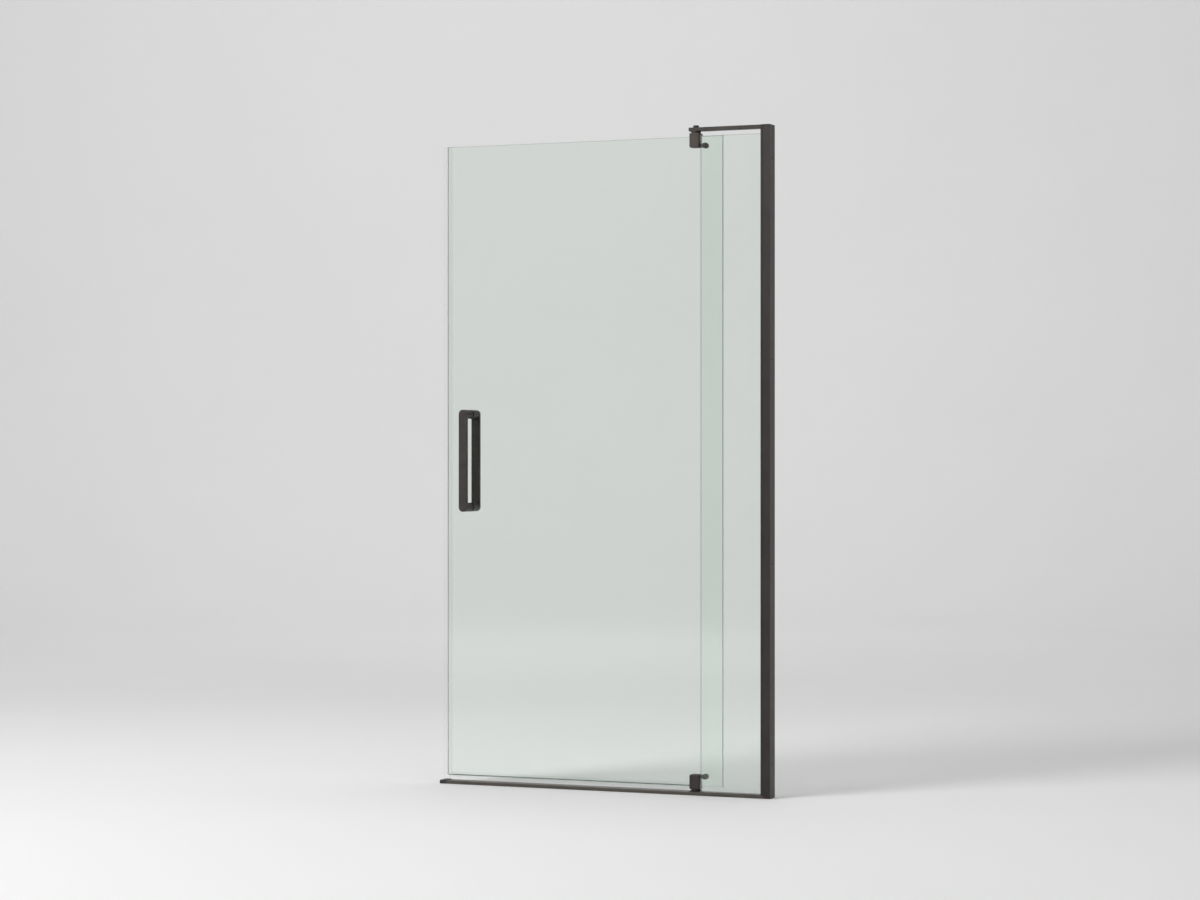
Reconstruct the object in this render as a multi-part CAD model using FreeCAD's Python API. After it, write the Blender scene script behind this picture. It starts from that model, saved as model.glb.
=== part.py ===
import FreeCAD, Part
import math
import os
from FreeCAD import Vector

# Pivot shower door for an alcove, in millimetres.
# X runs along the opening with zero at its middle, Z is up from the rail's underside,
# and Y is zero in the door glass's middle plane with the shower side at +Y.

# ---- doorway and profiles
opening_width = 960.0
jamb_height = 1778.0
profile_depth = 40.0
front_cover = 10.0
glass_thickness = 8.0
pane_gap = 6.0
arris = 0.6

# ---- bottom rail and its end cap
rail_height = 8.0
rail_bevel = 3.2
rail_rear_bevel = 1.0
rail_wall = 1.8
rail_chamber_width = 9.5
rail_end_inset = 2.0
cap_length = 17.0
cap_wall = 0.9
cap_top_wall = 1.3
cap_clearance = 0.1

# ---- wall channel
channel_width = 22.7
channel_wall = 2.6
channel_bevel = 2.4
wall_hole_diameter = 5.0
wall_hole_margin = 89.0
wall_hole_inner_spacing = 540.0

# ---- jamb expander
expander_reveal = 4.6
expander_width = 20.3
expander_wall = 2.0
slide_clearance = 0.2
side_screw_count = 4
side_screw_margin = 150.0
side_screw_diameter = 4.0
side_screw_length = 7.0
side_screw_clearance = 0.05
pan_head_diameter = 7.5
pan_head_height = 1.8
pan_head_crown_share = 0.45
recess_width = 3.4
recess_slot = 0.9
recess_depth = 1.0
top_cap_thickness = 2.0
cap_peg_thickness = 3.6
cap_peg_width = 20.0
cap_peg_depth = 8.0

# ---- panes
strike_gap = 14.5
pivot_setback = 216.1
tail_length = 77.2
fixed_edge_offset = 19.3
gasket_thickness = 1.2
gasket_inset = 0.3
fixed_glass_bite = 14.3
rail_pocket_depth = 4.0
setting_thickness = 1.5
pocket_lead = 0.5

# ---- pivot clamps
clamp_width = 28.0
clamp_depth = 30.0
clamp_height = 38.5
clamp_rounding = 1.8
clamp_end_rounding = 4.0
clamp_split = 0.4
clamp_ledge = 7.5
clamp_pad = 0.8
pad_inset = 0.5
glass_rest = 0.5
upper_play = 1.2
washer_height = 4.0
base_plate_thickness = 3.0
running_gap = 0.3
notch_width = 20.0
notch_depth = 22.0
notch_clearance = 0.7
clamp_bolt_diameter = 6.0
clamp_bolt_from_end = 22.5
clamp_bolt_clearance = 0.2
clamp_bolt_head_diameter = 10.5
clamp_bolt_head_height = 5.5
clamp_bolt_head_sink = 0.5
clamp_bolt_thread_depth = 11.0
thread_clearance = 0.05
hex_depth_share = 0.5
hex_corner_share = 0.58
bolt_socket_share = 0.8

# ---- studs beside the clamps
stud_offset = 26.0
stud_from_inner_end = 5.5
stud_button_diameter = 12.0
stud_button_height = 4.2
stud_hole_diameter = 9.0
stud_shank_diameter = 6.0
stud_shank_end = 12.0
stud_sleeve_clearance = 0.3
stud_bore_clearance = 0.1
ear_diameter = 15.5
ear_bridge_height = 10.0
ear_rounding = 0.8

# ---- pivot pins, bushings, collar
pin_diameter = 10.0
pin_running_clearance = 0.05
pin_seat_clearance = 0.02
pin_tip_clearance = 0.5
pin_chamfer = 0.8
bushing_diameter = 14.0
bushing_length = 18.0
bushing_seat_clearance = 0.03
pin_head_diameter = 15.5
pin_head_height = 6.0
collar_diameter = 26.0
collar_height = 5.0
thrust_washer_diameter = 26.0

# ---- lower base plate
base_plate_length = 30.0
base_plate_width = 20.0
base_screw_offset = 9.0
base_screw_diameter = 3.0
base_screw_head = 6.0
base_screw_length = 8.0
base_screw_clearance = 0.1
edge_break = 0.5

# ---- header arm and its bracket
arm_overhang = 17.5
arm_depth = 22.0
arm_height = 10.0
arm_rise = 1.0
arm_reveal = 3.5
arm_break = 1.0
arm_pocket_depth = 25.0
spigot_width = 13.0
spigot_height = 4.6
spigot_fit = 0.1
spigot_end_gap = 1.0
bracket_leg_height = 60.0
bracket_top_gap = 0.4
set_screw_diameter = 4.0
set_screw_offsets = [8.0, 18.0]
set_screw_sink = 0.4
bracket_screw_drops = [21.0, 46.0]
bracket_screw_length = 10.3

# ---- handle
handle_from_edge = 65.5
handle_height = 889.5
bar_width = 24.5
bar_length = 280.0
bar_thickness = 8.5
bar_break = 0.8
finger_gap = 35.0
handle_washer_thickness = 1.0
handle_washer_inset = 0.5
handle_hole_diameter = 12.0
handle_stud_diameter = 8.0
handle_stud_reach = 27.0
handle_sleeve_clearance = 0.1
handle_bore_clearance = 0.05
handle_bore_spare = 1.0
post_screw_diameter = 5.0
post_screw_distance = 15.0

# ---- seals
seal_leg = 1.0
seal_clearance = 0.1
strike_leg_length = 13.5
strike_web = 1.5
strike_fin_thickness = 1.0
strike_wall_gap = 0.3
sweep_end_gap = 0.5
sweep_leg_height = 8.0
sweep_web = 1.5
sweep_fin_thickness = 1.0
sweep_drip_reach = 6.0
sweep_drip_drop = 7.0

# ---- derived planes
left_x = -opening_width / 2
right_x = opening_width / 2
half_glass = glass_thickness / 2
fixed_mid_y = -(glass_thickness + pane_gap)
front_y = fixed_mid_y - front_cover
rear_y = front_y + profile_depth
lip_x = right_x - channel_width
web_x = right_x - channel_wall
jamb_top_z = jamb_height - top_cap_thickness
pivot_x = right_x - pivot_setback
door_left_x = left_x + strike_gap
door_right_x = pivot_x + tail_length
fixed_edge_x = pivot_x + fixed_edge_offset
expander_x0 = lip_x - expander_reveal
expander_x1 = expander_x0 + expander_width
expander_y0 = front_y + channel_wall + slide_clearance
expander_y1 = rear_y - channel_wall - slide_clearance
pocket_half = half_glass + gasket_thickness
pocket_y0 = fixed_mid_y - pocket_half
pocket_y1 = fixed_mid_y + pocket_half
chamber_x0 = expander_x0 + expander_wall
chamber_x1 = expander_x1 - expander_wall
chamber_y0 = pocket_y1 + expander_wall
chamber_y1 = expander_y1 - expander_wall
rail_pocket_z = rail_height - rail_pocket_depth
fixed_bottom_z = rail_pocket_z + setting_thickness
plate_top_z = rail_height + base_plate_thickness
washer_top_z = plate_top_z + washer_height
lower_clamp_z = washer_top_z + running_gap
lower_ledge_z = lower_clamp_z + clamp_ledge
door_bottom_z = lower_ledge_z + glass_rest
arm_top_z = jamb_height + arm_rise
arm_bottom_z = arm_top_z - arm_height
arm_x0 = pivot_x - arm_overhang
arm_x1 = expander_x0 - arm_reveal
collar_bottom_z = arm_bottom_z - collar_height
upper_clamp_z = collar_bottom_z - running_gap
door_top_z = upper_clamp_z - clamp_ledge - upper_play
spigot_top_z = jamb_top_z - bracket_top_gap
spigot_bottom_z = spigot_top_z - spigot_height
pin_radius = pin_diameter / 2
post_length = finger_gap - handle_washer_thickness
handle_x = door_left_x + handle_from_edge
post_offset = (bar_length - bar_width) / 2


# ---- small building blocks
def box(x0, x1, y0, y1, z0, z1):
    return Part.makeBox(x1 - x0, y1 - y0, z1 - z0, Vector(x0, y0, z0))


def rod(x, y, z, direction, radius, length):
    return Part.makeCylinder(radius, length, Vector(x, y, z), direction)


def cone(x, y, z, direction, radius0, radius1, length):
    return Part.makeCone(radius0, radius1, length, Vector(x, y, z), direction)


def prism(points, along):
    wire = Part.makePolygon([Vector(*p) for p in points + points[:1]])
    return Part.Face(wire).extrude(Vector(*along))


def mirrored_in_y(shape):
    return shape.mirror(Vector(0, 0, 0), Vector(0, 1, 0))


def edges_where(shape, test):
    return [edge for edge in shape.Edges if test(edge)]


def is_level(edge, axis_index, value):
    return all(abs(vertex.Point[axis_index] - value) < 1e-4 for vertex in edge.Vertexes)


def pane(x0, x1, y_mid, z0, z1):
    y0 = y_mid - half_glass
    y1 = y_mid + half_glass
    plate = box(x0, x1, y0, y1, z0, z1)
    rim = edges_where(plate, lambda e: is_level(e, 1, y0) or is_level(e, 1, y1))
    return plate.makeChamfer(arris, rim)


def export(name, *solids):
    shape = solids[0] if len(solids) == 1 else Part.makeCompound(list(solids))
    shape.exportStep("parts/" + name + ".step")


os.makedirs("parts", exist_ok=True)
up = Vector(0, 0, 1)
down = Vector(0, 0, -1)
rightward = Vector(1, 0, 0)
inward = Vector(0, 1, 0)
outward = Vector(0, -1, 0)


# ---- bottom rail: hollow extrusion, mitred at its right end
def rail_section(grow_y, grow_z, x):
    y0 = front_y - grow_y
    y1 = rear_y + grow_y
    z1 = rail_height + grow_z
    return [
        (x, y0, 0),
        (x, y0, z1 - rail_bevel),
        (x, y0 + rail_bevel, z1),
        (x, y1 - rail_rear_bevel, z1),
        (x, y1, z1 - rail_rear_bevel),
        (x, y1, 0),
    ]


rail_x0 = left_x + rail_end_inset
rail = prism(rail_section(0, 0, rail_x0), (right_x - rail_x0, 0, 0))
mitre_wedge = prism(
    [
        (lip_x - 1, front_y - 1, rail_height + 1),
        (lip_x + rail_height + 1, front_y - 1, -1),
        (right_x + 1, front_y - 1, -1),
        (right_x + 1, front_y - 1, rail_height + 1),
    ],
    (0, profile_depth + 2, 0),
)
rail = rail.cut(mitre_wedge)
chamber_rear = rear_y - rail_wall
rail = rail.cut(
    box(
        rail_x0 - 1,
        right_x,
        chamber_rear - rail_chamber_width,
        chamber_rear,
        rail_wall,
        rail_height - rail_wall,
    )
)
rail = rail.cut(
    box(fixed_edge_x - pocket_lead, right_x, pocket_y0, pocket_y1, rail_pocket_z, rail_height + 1)
)
base_screw_xs = [pivot_x - base_screw_offset, pivot_x + base_screw_offset]
base_screw_top = plate_top_z - base_screw_clearance
for x in base_screw_xs:
    hole_bottom = base_screw_top - base_screw_length - base_screw_clearance
    radius = base_screw_diameter / 2 + thread_clearance
    rail = rail.cut(rod(x, 0, hole_bottom, up, radius, plate_top_z - hole_bottom))
export("bottom_rail", rail)

# ---- rail end cap: a sleeve on the rail's front, top, rear and end
cap_grow = cap_wall + cap_clearance
cap_rise = cap_top_wall + cap_clearance
end_cap = prism(rail_section(cap_grow, cap_rise, left_x), (cap_length, 0, 0))
end_cap = end_cap.cut(prism(rail_section(cap_clearance, cap_clearance, rail_x0), (cap_length, 0, 0)))
export("rail_end_cap", end_cap)

# ---- wall channel: U profile open towards the door, bevelled lips, mitred foot
channel = prism(
    [
        (lip_x + channel_bevel, front_y, 0),
        (right_x, front_y, 0),
        (right_x, rear_y, 0),
        (lip_x + channel_bevel, rear_y, 0),
        (lip_x, rear_y - channel_bevel, 0),
        (lip_x, front_y + channel_bevel, 0),
    ],
    (0, 0, jamb_top_z),
)
channel = channel.cut(box(lip_x - 1, web_x, front_y + channel_wall, rear_y - channel_wall, -1, jamb_height))
foot_wedge = prism(
    [
        (lip_x - 1, front_y - 1, rail_height + 1),
        (lip_x + rail_height + 1, front_y - 1, -1),
        (lip_x - 1, front_y - 1, -1),
    ],
    (0, profile_depth + 2, 0),
)
channel = channel.cut(foot_wedge)
channel_mid_y = (front_y + rear_y) / 2
wall_hole_mid_z = jamb_height / 2
wall_hole_outer_spacing = jamb_height - 2 * wall_hole_margin
for spacing in (wall_hole_outer_spacing, wall_hole_inner_spacing):
    for z in (wall_hole_mid_z - spacing / 2, wall_hole_mid_z + spacing / 2):
        hole_start = web_x - 1
        hole = rod(hole_start, channel_mid_y, z, rightward, wall_hole_diameter / 2, channel_wall + 2)
        channel = channel.cut(hole)
side_hole_radius = side_screw_diameter / 2 + side_screw_clearance
side_screw_pitch = (jamb_height - 2 * side_screw_margin) / (side_screw_count - 1)
side_screw_heights = [side_screw_margin + side_screw_pitch * i for i in range(side_screw_count)]
side_screw_x = (chamber_x0 + chamber_x1) / 2
for z in side_screw_heights:
    channel = channel.cut(rod(side_screw_x, rear_y + 1, z, outward, side_hole_radius, channel_wall + 2))
export("wall_channel", channel)

# ---- jamb expander: slides in the channel, pocket for the fixed pane, box chamber behind it
expander = box(expander_x0, expander_x1, expander_y0, expander_y1, rail_height, jamb_top_z)
expander = expander.cut(box(expander_x0 - 1, chamber_x1, pocket_y0, pocket_y1, rail_height - 1, jamb_height))
expander = expander.cut(box(chamber_x0, chamber_x1, chamber_y0, chamber_y1, rail_height - 1, jamb_height))
spigot_half = spigot_width / 2
expander = expander.cut(
    box(
        expander_x0 - 1,
        chamber_x0 + 1,
        -spigot_half - slide_clearance,
        spigot_half + slide_clearance,
        spigot_bottom_z - slide_clearance,
        jamb_height,
    )
)
for z in side_screw_heights:
    hole = rod(side_screw_x, expander_y1 + 1, z, outward, side_hole_radius, expander_wall + 2)
    expander = expander.cut(hole)
bracket_mid_y = (chamber_y0 + chamber_y1) / 2
bracket_screw_zs = [spigot_top_z - drop for drop in bracket_screw_drops]
for z in bracket_screw_zs:
    hole = rod(expander_x0 - 1, bracket_mid_y, z, rightward, side_hole_radius, expander_wall + 2)
    expander = expander.cut(hole)
export("jamb_expander", expander)

# ---- glazing gaskets either side of the fixed pane, and the setting gasket under it
fixed_right_x = expander_x0 + fixed_glass_bite
front_gasket = box(
    expander_x0 + gasket_inset, fixed_right_x, pocket_y0, fixed_mid_y - half_glass, rail_height, door_top_z
)
rear_gasket = box(
    expander_x0 + gasket_inset, fixed_right_x, fixed_mid_y + half_glass, pocket_y1, rail_height, door_top_z
)
export("jamb_glazing_gaskets", front_gasket, rear_gasket)
setting = box(fixed_edge_x, lip_x - gasket_inset, pocket_y0, pocket_y1, rail_pocket_z, rail_height)
setting = setting.cut(
    box(
        fixed_edge_x - 1,
        lip_x + 1,
        fixed_mid_y - half_glass,
        fixed_mid_y + half_glass,
        fixed_bottom_z,
        rail_height + 1,
    )
)
export("rail_setting_gasket", setting)

# ---- fixed pane
export("fixed_glass", pane(fixed_edge_x, fixed_right_x, fixed_mid_y, fixed_bottom_z, door_top_z))


# ---- screws
def cross_recess(x, y, z, direction):
    # A cross recess cut into a head whose outer face is at the given point
    slots = []
    for side in (0, 1):
        half = [recess_width / 2, recess_width / 2, recess_width / 2]
        axis = [abs(direction.x), abs(direction.y), abs(direction.z)].index(1.0)
        half[axis] = recess_depth
        half[(axis + 1 + side) % 3] = recess_slot / 2
        slots.append(box(x - half[0], x + half[0], y - half[1], y + half[1], z - half[2], z + half[2]))
    return slots[0].fuse(slots[1])


def pan_screw(x, y, z, direction, length):
    # Head on the side the direction points away from, shank along the direction
    back = direction * -pan_head_height
    head = rod(x + back.x, y + back.y, z + back.z, direction, pan_head_diameter / 2, pan_head_height)
    shank = rod(x, y, z, direction, side_screw_diameter / 2, length)
    seat_point = Vector(x, y, z)
    crown = edges_where(
        head, lambda e: e.Closed and (e.BoundBox.Center - seat_point).Length > pan_head_height / 2
    )
    head = head.makeFillet(pan_head_height * pan_head_crown_share, crown)
    screw = head.fuse(shank).removeSplitter()
    return screw.cut(cross_recess(x + back.x, y + back.y, z + back.z, direction))


side_screws = [pan_screw(side_screw_x, rear_y, z, outward, side_screw_length) for z in side_screw_heights]
export("jamb_side_screws", *side_screws)
bracket_screws = [
    pan_screw(expander_x0, bracket_mid_y, z, rightward, bracket_screw_length) for z in bracket_screw_zs
]
export("arm_bracket_screws", *bracket_screws)

# ---- jamb top cap with a peg behind the expander
top_cap = box(lip_x, right_x, front_y, rear_y, jamb_top_z, jamb_height)
top_cap = top_cap.fuse(box(expander_x0, right_x, expander_y0, expander_y1, jamb_top_z, jamb_height))
peg_x0 = (expander_x1 + web_x - cap_peg_thickness) / 2
peg_y0 = channel_mid_y - cap_peg_width / 2
peg = box(
    peg_x0,
    peg_x0 + cap_peg_thickness,
    peg_y0,
    peg_y0 + cap_peg_width,
    jamb_top_z - cap_peg_depth,
    jamb_height,
)
export("jamb_top_cap", top_cap.fuse(peg).removeSplitter())

# ---- header arm: solid bar bored for the upper pin, pocketed for the spigot
arm_half = arm_depth / 2
arm = box(arm_x0, arm_x1, -arm_half, arm_half, arm_bottom_z, arm_top_z)
arm = arm.makeChamfer(arm_break, arm.Edges)
arm = arm.cut(
    box(
        arm_x1 - arm_pocket_depth,
        arm_x1 + 1,
        -spigot_half - spigot_fit,
        spigot_half + spigot_fit,
        spigot_bottom_z - spigot_fit,
        spigot_top_z + spigot_fit,
    )
)
arm = arm.cut(rod(pivot_x, 0, arm_bottom_z - 1, up, pin_radius + pin_seat_clearance, arm_height + 2))
set_screw_z = (spigot_bottom_z + spigot_top_z) / 2
set_screw_length = arm_half - set_screw_sink - spigot_half
for offset in set_screw_offsets:
    radius = set_screw_diameter / 2
    hole = rod(arm_x1 - offset, arm_half + 1, set_screw_z, outward, radius, arm_half + 1 - spigot_half)
    arm = arm.cut(hole)
export("header_arm", arm)


def set_screw(x, y, z, direction, diameter, length):
    radius = diameter / 2 - thread_clearance
    screw = rod(x, y, z, direction, radius, length)
    return screw.cut(hex_socket(x, y, z, direction, radius, length / 2))


def hex_socket(x, y, z, direction, radius, depth):
    # Six-sided recess whose mouth is at the given point, running along the direction
    corner_radius = radius * hex_corner_share
    side = Vector(0, 0, 1).cross(direction)
    if side.Length < 0.5:
        side = Vector(1, 0, 0)
    centre = Vector(x, y, z)
    corners = []
    for step in range(6):
        turn = FreeCAD.Rotation(direction, 60.0 * step)
        corners.append(centre + turn.multVec(side) * corner_radius)
    wire = Part.makePolygon(corners + corners[:1])
    return Part.Face(wire).extrude(direction * depth)


set_screw_y = arm_half - set_screw_sink
set_screws = [
    set_screw(arm_x1 - offset, set_screw_y, set_screw_z, outward, set_screw_diameter, set_screw_length)
    for offset in set_screw_offsets
]
export("arm_set_screws", *set_screws)

# ---- arm bracket: leg in the expander's chamber, spigot into the arm
bracket = box(
    chamber_x0 + slide_clearance,
    chamber_x1 - slide_clearance,
    chamber_y0 + slide_clearance,
    chamber_y1 - slide_clearance,
    spigot_top_z - bracket_leg_height,
    spigot_top_z,
)
spigot_x0 = arm_x1 - arm_pocket_depth + spigot_end_gap
bracket = bracket.fuse(
    box(spigot_x0, chamber_x0 + 1, -spigot_half, spigot_half, spigot_bottom_z, spigot_top_z)
).removeSplitter()
for z in bracket_screw_zs:
    hole = rod(chamber_x0, bracket_mid_y, z, rightward, side_hole_radius, bracket_screw_length)
    bracket = bracket.cut(hole)
export("arm_bracket", bracket)

# ---- upper pivot pin, collar
pin_reach = bushing_length - pin_tip_clearance
upper_pin_tip_z = upper_clamp_z - pin_reach
upper_pin = rod(pivot_x, 0, upper_pin_tip_z, up, pin_radius, arm_top_z - upper_pin_tip_z)
upper_pin = upper_pin.makeChamfer(
    pin_chamfer, edges_where(upper_pin, lambda e: is_level(e, 2, upper_pin_tip_z))
)
pin_head = rod(pivot_x, 0, arm_top_z, up, pin_head_diameter / 2, pin_head_height)
pin_head = pin_head.makeChamfer(
    pin_chamfer, edges_where(pin_head, lambda e: is_level(e, 2, arm_top_z + pin_head_height) and e.Closed)
)
upper_pin = upper_pin.fuse(pin_head).removeSplitter()
upper_pin = upper_pin.cut(
    hex_socket(pivot_x, 0, arm_top_z + pin_head_height, down, pin_radius, pin_head_height * hex_depth_share)
)
export("upper_pivot_pin", upper_pin)
collar = rod(pivot_x, 0, collar_bottom_z, up, collar_diameter / 2, collar_height)
collar = collar.cut(rod(pivot_x, 0, collar_bottom_z - 1, up, pin_radius + pin_seat_clearance, arm_height))
export("upper_collar", collar)

# ---- lower base plate, its screws, pin and thrust washer
plate_half = base_plate_length / 2
plate = box(
    pivot_x - plate_half,
    pivot_x + plate_half,
    -base_plate_width / 2,
    base_plate_width / 2,
    rail_height,
    plate_top_z,
)
plate = plate.makeChamfer(edge_break, edges_where(plate, lambda e: is_level(e, 2, plate_top_z)))
plate = plate.cut(
    rod(pivot_x, 0, rail_height - 1, up, pin_radius + pin_seat_clearance, base_plate_thickness + 2)
)
head_radius = base_screw_head / 2
shank_radius = base_screw_diameter / 2
head_depth = head_radius - shank_radius
base_screws = []
for x in base_screw_xs:
    sink_radius = head_radius + base_screw_clearance
    bore_radius = shank_radius + base_screw_clearance
    plate = plate.cut(rod(x, 0, rail_height - 1, up, bore_radius, base_plate_thickness + 2))
    plate = plate.cut(
        cone(x, 0, plate_top_z, down, sink_radius, bore_radius, sink_radius - bore_radius)
    )
    screw = cone(x, 0, base_screw_top, down, head_radius, shank_radius, head_depth)
    screw = screw.fuse(
        rod(x, 0, base_screw_top - head_depth, down, shank_radius, base_screw_length - head_depth)
    ).removeSplitter()
    base_screws.append(screw.cut(cross_recess(x, 0, base_screw_top, up)))
export("lower_base_plate", plate)
export("base_plate_screws", *base_screws)
lower_pin_top = lower_clamp_z + pin_reach
lower_pin = rod(pivot_x, 0, rail_height, up, pin_radius, lower_pin_top - rail_height)
lower_pin = lower_pin.makeChamfer(
    pin_chamfer, edges_where(lower_pin, lambda e: is_level(e, 2, lower_pin_top))
)
export("lower_pivot_pin", lower_pin)
thrust = rod(pivot_x, 0, plate_top_z, up, thrust_washer_diameter / 2, washer_height)
thrust = thrust.cut(
    rod(pivot_x, 0, plate_top_z - 1, up, pin_radius + pin_running_clearance, washer_height + 2)
)
export("lower_thrust_washer", thrust)


# ---- pivot notch in the door glass, open at the glass's edge
def notch(edge_z, into, width, depth, half_thickness):
    # A round-ended slot from the edge plane into the glass, along +Z or -Z
    radius = width / 2
    centre_z = edge_z + into * (depth - radius)
    low, high = sorted((edge_z - into, centre_z))
    slot = box(pivot_x - radius, pivot_x + radius, -half_thickness, half_thickness, low, high)
    return slot.fuse(rod(pivot_x, -half_thickness, centre_z, inward, radius, 2 * half_thickness))


stud_x = pivot_x + stud_offset
lower_stud_z = lower_clamp_z + clamp_height - stud_from_inner_end
upper_stud_z = upper_clamp_z - clamp_height + stud_from_inner_end
handle_stud_zs = [handle_height - post_offset, handle_height + post_offset]

# ---- door pane with its notches and holes
door = pane(door_left_x, door_right_x, 0, door_bottom_z, door_top_z)
door = door.cut(notch(door_bottom_z, 1, notch_width, notch_depth, half_glass + 1))
door = door.cut(notch(door_top_z, -1, notch_width, notch_depth, half_glass + 1))
for z in (lower_stud_z, upper_stud_z):
    door = door.cut(rod(stud_x, -half_glass - 1, z, inward, stud_hole_diameter / 2, glass_thickness + 2))
for z in handle_stud_zs:
    door = door.cut(rod(handle_x, -half_glass - 1, z, inward, handle_hole_diameter / 2, glass_thickness + 2))
export("door_glass", door)


# ---- pivot clamps: two halves bolted through the notch, the inner one with an ear for the stud
def clamp_parts(end_z, into, edge_z, stud_z):
    # end_z is the clamp's outer end, into points from it along the glass, edge_z is the glass's edge
    inner_end_z = end_z + into * clamp_height
    low, high = sorted((end_z, inner_end_z))
    half_width = clamp_width / 2
    half_depth = clamp_depth / 2
    block = box(pivot_x - half_width, pivot_x + half_width, -half_depth, half_depth, low, high)
    inner_corners = edges_where(
        block,
        lambda e: is_level(e, 2, inner_end_z)
        and (is_level(e, 0, pivot_x - half_width) or is_level(e, 0, pivot_x + half_width)),
    )
    block = block.makeFillet(clamp_end_rounding, inner_corners)
    block = block.makeFillet(
        clamp_rounding,
        edges_where(
            block,
            lambda e: is_level(e, 1, -half_depth) or is_level(e, 1, half_depth) or is_level(e, 2, end_z),
        ),
    )

    seat = half_glass + clamp_pad
    ledge_z = end_z + into * clamp_ledge
    a, b = sorted((ledge_z, inner_end_z + into))
    slot = box(pivot_x - half_width - 1, pivot_x + half_width + 1, -seat, seat, a, b)
    boss_length = glass_rest + notch_depth - notch_clearance
    boss = notch(ledge_z, into, notch_width - 2 * notch_clearance, boss_length, seat)
    block = block.cut(slot.cut(boss))
    bore = rod(pivot_x, 0, end_z, up * into, bushing_diameter / 2 + bushing_seat_clearance, bushing_length)
    block = block.cut(bore)

    bolt_z = end_z + into * clamp_bolt_from_end
    bolt_radius = clamp_bolt_diameter / 2
    head_y = half_depth - clamp_bolt_head_sink - clamp_bolt_head_height
    x0 = pivot_x - clamp_width
    x1 = pivot_x + clamp_width
    outer = block.common(box(x0, x1, -clamp_depth, -clamp_split / 2, low - 1, high + 1))
    outer = outer.cut(
        rod(pivot_x, 0, bolt_z, outward, bolt_radius + thread_clearance, clamp_bolt_thread_depth)
    )
    inner = block.common(box(x0, x1, clamp_split / 2, clamp_depth, low - 1, high + 1))
    ear_radius = ear_diameter / 2
    ear = rod(stud_x, seat, stud_z, inward, ear_radius, half_depth - seat)
    ear = ear.makeFillet(ear_rounding, edges_where(ear, lambda e: e.Closed and is_level(e, 1, half_depth)))
    bridge = box(
        pivot_x + half_width - clamp_rounding - 1,
        stud_x,
        seat,
        half_depth - clamp_rounding,
        stud_z - ear_bridge_height / 2,
        stud_z + ear_bridge_height / 2,
    )
    inner = inner.fuse(ear).fuse(bridge).removeSplitter()
    inner = inner.cut(rod(pivot_x, 0, bolt_z, inward, bolt_radius + clamp_bolt_clearance, half_depth + 1))
    inner = inner.cut(
        rod(pivot_x, head_y, bolt_z, inward, clamp_bolt_head_diameter / 2 + clamp_bolt_clearance, half_depth)
    )
    stud_radius = stud_shank_diameter / 2
    inner = inner.cut(
        rod(stud_x, 0, stud_z, inward, stud_radius + thread_clearance, stud_shank_end + clamp_bolt_clearance)
    )

    bolt = rod(pivot_x, head_y, bolt_z, inward, clamp_bolt_head_diameter / 2, clamp_bolt_head_height)
    bolt_shank_length = head_y + clamp_bolt_thread_depth - clamp_bolt_clearance
    bolt = bolt.fuse(rod(pivot_x, head_y, bolt_z, outward, bolt_radius, bolt_shank_length))
    bolt = bolt.removeSplitter().cut(
        hex_socket(
            pivot_x,
            head_y + clamp_bolt_head_height,
            bolt_z,
            outward,
            clamp_bolt_diameter * bolt_socket_share,
            clamp_bolt_head_height * hex_depth_share,
        )
    )

    pad_half = half_width - pad_inset
    c, d = sorted((ledge_z, inner_end_z - into * pad_inset))
    pads = box(pivot_x - pad_half, pivot_x + pad_half, -seat, seat, c, d)
    e, f = sorted((edge_z, inner_end_z + into))
    pads = pads.cut(box(pivot_x - half_width, pivot_x + half_width, -half_glass, half_glass, e, f))
    window = notch(edge_z, into, notch_width, notch_depth, seat + 1)
    g, h = sorted((end_z, edge_z))
    window = window.fuse(
        box(pivot_x - notch_width / 2, pivot_x + notch_width / 2, -seat - 1, seat + 1, g, h)
    )
    pads = pads.cut(window)

    button_radius = stud_button_diameter / 2
    button = rod(stud_x, -seat - stud_button_height, stud_z, inward, button_radius, stud_button_height)
    button = button.makeFillet(
        ear_rounding, edges_where(button, lambda e: e.Closed and is_level(e, 1, -seat - stud_button_height))
    )
    shank = rod(stud_x, -seat, stud_z, inward, stud_radius, seat + stud_shank_end)
    stud = button.fuse(shank).removeSplitter()

    sleeve_bore = stud_radius + stud_bore_clearance
    sleeve_radius = stud_hole_diameter / 2 - stud_sleeve_clearance
    sleeve = rod(stud_x, -seat, stud_z, inward, button_radius - pad_inset, clamp_pad)
    sleeve = sleeve.fuse(
        rod(stud_x, -half_glass, stud_z, inward, sleeve_radius, glass_thickness)
    ).removeSplitter()
    sleeve = sleeve.cut(rod(stud_x, -seat - 1, stud_z, inward, sleeve_bore, 2 * seat + 2))
    washer = rod(stud_x, half_glass, stud_z, inward, ear_radius - pad_inset, clamp_pad)
    washer = washer.cut(rod(stud_x, 0, stud_z, inward, sleeve_bore, 2 * seat))

    bushing = rod(pivot_x, 0, end_z, up * into, bushing_diameter / 2, bushing_length)
    bushing = bushing.cut(
        rod(pivot_x, 0, end_z - into, up * into, pin_radius + pin_running_clearance, bushing_length + 2)
    )
    return outer, inner, bolt, pads, stud, sleeve, washer, bushing


for place, end_z, into, edge_z, stud_z in (
    ("lower", lower_clamp_z, 1, door_bottom_z, lower_stud_z),
    ("upper", upper_clamp_z, -1, door_top_z, upper_stud_z),
):
    outer, inner, bolt, pads, stud, sleeve, washer, bushing = clamp_parts(end_z, into, edge_z, stud_z)
    export(place + "_clamp_outer", outer)
    export(place + "_clamp_inner", inner)
    export(place + "_clamp_bolt", bolt)
    export(place + "_clamp_gaskets", *pads.Solids)
    export(place + "_stud", stud)
    export(place + "_stud_sleeve", sleeve, washer)
    export(place + "_bushing", bushing)

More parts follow.
